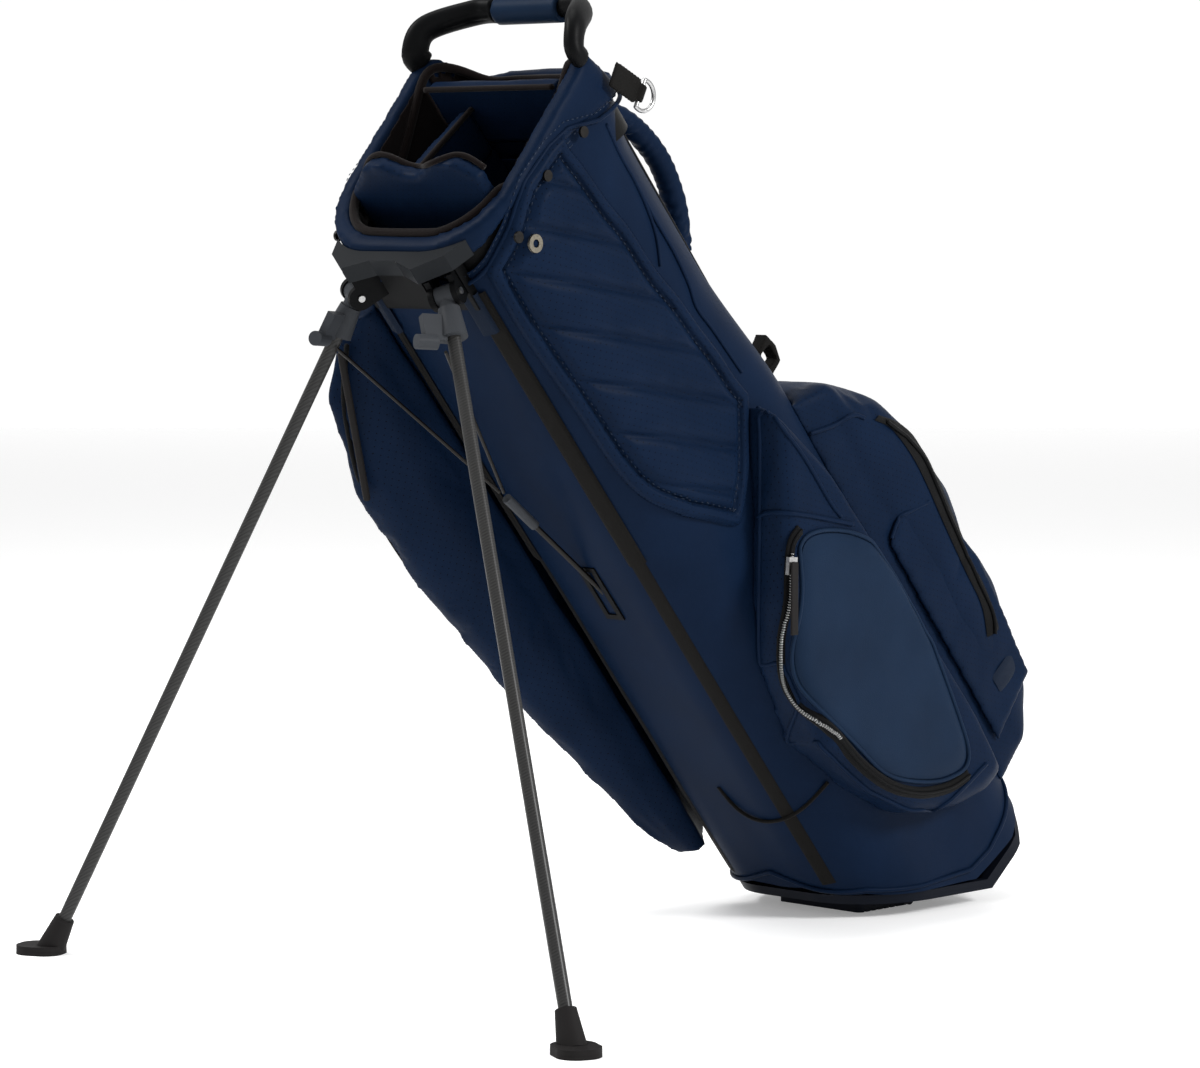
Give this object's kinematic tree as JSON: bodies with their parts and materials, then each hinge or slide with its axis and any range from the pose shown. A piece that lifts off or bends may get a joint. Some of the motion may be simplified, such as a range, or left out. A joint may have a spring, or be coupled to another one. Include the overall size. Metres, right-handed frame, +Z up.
{
  "type": "golf stand bag",
  "caption": "Leaning golf bag with a padded divided cuff, quilted flanks, zipped pockets, a hinged base foot and two spread legs that fold together.",
  "frame": {"origin": "centre of the hinged base foot's sole, on the floor", "axes": "+Z up, -X towards the two leg feet, +X towards the heel of the bag, +Y to the side with the long apparel pocket"},
  "size_m": [0.9208, 0.7212, 0.8593],
  "materials": {
    "navy_leather": "perforated synthetic leather, satin",
    "dark_velour": "short pile velour",
    "black_webbing": "woven webbing",
    "lining_fabric": "smooth nylon",
    "black_plastic": "fine moulded texture",
    "grey_plastic": "fine moulded texture",
    "carbon_tube": "carbon fibre twill, satin",
    "black_rubber": "moulded rubber",
    "dark_metal": "dark plated metal",
    "steel": "plain",
    "zip_black": "zip tape"
  },
  "bodies": {
    "bag": {"apparel_pocket": "navy_leather", "apparel_pocket_zip": "zip_black", "back_divider": "navy_leather", "back_divider_panel": "lining_fabric", "back_stays": "carbon_tube", "ball_pocket": "navy_leather", "base_foot_pin": "steel", "base_tray": "black_plastic", "body_shell": "navy_leather", "bracket_cover": "grey_plastic", "bungee_cord": "black_webbing", "carry_handle": "navy_leather", "clip_loop_far": "black_webbing", "clip_loop_near": "black_webbing", "cuff_cover": "navy_leather", "cuff_frame": "black_plastic", "cuff_lining": "dark_velour", "eyelet_far": "dark_metal", "eyelet_near": "dark_metal", "front_divider": "navy_leather", "front_divider_panel": "lining_fabric", "front_stays": "carbon_tube", "hip_panel_far": "navy_leather", "hip_panel_near": "navy_leather", "leg_bracket": "black_plastic", "leg_pin_far": "steel", "leg_pin_near": "steel", "long_divider": "navy_leather", "long_divider_panel": "lining_fabric", "push_rod_guide": "black_plastic", "rivets_far": "dark_metal", "rivets_near": "dark_metal", "rod_bezel": "black_plastic", "side_pocket": "navy_leather", "side_pocket_zip": "zip_black", "slip_panel_far": "navy_leather", "slip_panel_near": "navy_leather", "strap_anchor_far": "black_webbing", "strap_anchor_near": "black_webbing", "top_handle_frame": "grey_plastic", "top_handle_grip": "navy_leather", "webbing_rail_far": "black_webbing", "webbing_rail_near": "black_webbing"},
    "near_leg": {"leg_collar_near": "grey_plastic", "leg_tube_near": "carbon_tube", "leg_foot_near": "black_rubber"},
    "far_leg": {"leg_collar_far": "grey_plastic", "leg_tube_far": "carbon_tube", "leg_foot_far": "black_rubber"},
    "actuator": {"actuator_rod": "dark_metal", "junction_sleeve": "dark_metal"},
    "near_wire": {"spreader_wire_near": "dark_metal"},
    "far_wire": {"spreader_wire_far": "dark_metal"},
    "push_rod_body": {"push_rod": "steel"},
    "foot_plate": {"base_foot": "black_rubber"},
    "near_ring": {"strap_ring_near": "dark_metal"},
    "far_ring": {"strap_ring_far": "dark_metal"},
    "side_slider": {"side_zip_slider": "dark_metal"},
    "side_pull": {"side_zip_pull": "black_rubber"},
    "apparel_pull": {"apparel_zip_pull": "black_rubber"}
  },
  "joints": [
    {"name": "near_leg_fold", "type": "hinge", "parent": "bag", "child": "near_leg", "pos_m": [-0.58182, -0.0563, 0.59733], "axis": [0.3847, -0.8669, 0.3171], "range_deg": [0, 55.48]},
    {"name": "far_leg_fold", "type": "hinge", "parent": "bag", "child": "far_leg", "pos_m": [-0.58182, 0.0563, 0.59733], "axis": [-0.3847, -0.8669, -0.3171], "range_deg": [0, 55.48]},
    {"name": "actuator_slide", "type": "slide", "parent": "bag", "child": "actuator", "axis": [0.8026, 0, -0.5965], "range_m": [0, 0.03211]},
    {"name": "near_wire_swing", "type": "hinge", "parent": "actuator", "child": "near_wire", "pos_m": [-0.45577, 0, 0.41612], "axis": [-0.6065, 0.7572, -0.2427], "range_deg": [0, 8.93]},
    {"name": "far_wire_swing", "type": "hinge", "parent": "actuator", "child": "far_wire", "pos_m": [-0.45577, 0, 0.41612], "axis": [0.6065, 0.7572, 0.2427], "range_deg": [0, 8.93]},
    {"name": "push_rod_slide", "type": "slide", "parent": "bag", "child": "push_rod_body", "axis": [0.6877, 0, -0.726], "range_m": [0, 0.03211]},
    {"name": "base_foot_swing", "type": "hinge", "parent": "bag", "child": "foot_plate", "pos_m": [0.034, 0, 0.0065], "axis": [0, -1, 0], "range_deg": [0, 31.2]},
    {"name": "near_ring_swing", "type": "hinge", "parent": "bag", "child": "near_ring", "pos_m": [-0.39902, -0.1098, 0.77101], "axis": [-0.4287, 0, -0.9034], "range_deg": [0, 75]},
    {"name": "far_ring_swing", "type": "hinge", "parent": "bag", "child": "far_ring", "pos_m": [-0.39902, 0.1098, 0.77101], "axis": [0.4287, 0, 0.9034], "range_deg": [0, 75]},
    {"name": "side_zip_run", "type": "slide", "parent": "bag", "child": "side_slider", "axis": [-0.0715, 0, -0.9974], "range_m": [0, 0.04]},
    {"name": "side_pull_swing", "type": "hinge", "parent": "side_slider", "child": "side_pull", "pos_m": [-0.24255, -0.1529, 0.35084], "axis": [0, 1, 0], "range_deg": [-40, 40]},
    {"name": "apparel_pull_swing", "type": "hinge", "parent": "bag", "child": "apparel_pull", "pos_m": [-0.5684, 0.092, 0.54489], "axis": [0, 1, 0], "range_deg": [0, 30]}
  ],
  "couplings": [
    {"joint": "far_leg_fold", "follows": "near_leg_fold", "ratio": 1},
    {"joint": "actuator_slide", "follows": "near_leg_fold", "m_per_rad": 0.033155},
    {"joint": "near_wire_swing", "follows": "near_leg_fold", "ratio": 0.16083},
    {"joint": "far_wire_swing", "follows": "near_leg_fold", "ratio": 0.16083},
    {"joint": "push_rod_slide", "follows": "near_leg_fold", "m_per_rad": 0.033155},
    {"joint": "base_foot_swing", "follows": "near_leg_fold", "ratio": 0.56226}
  ]
}
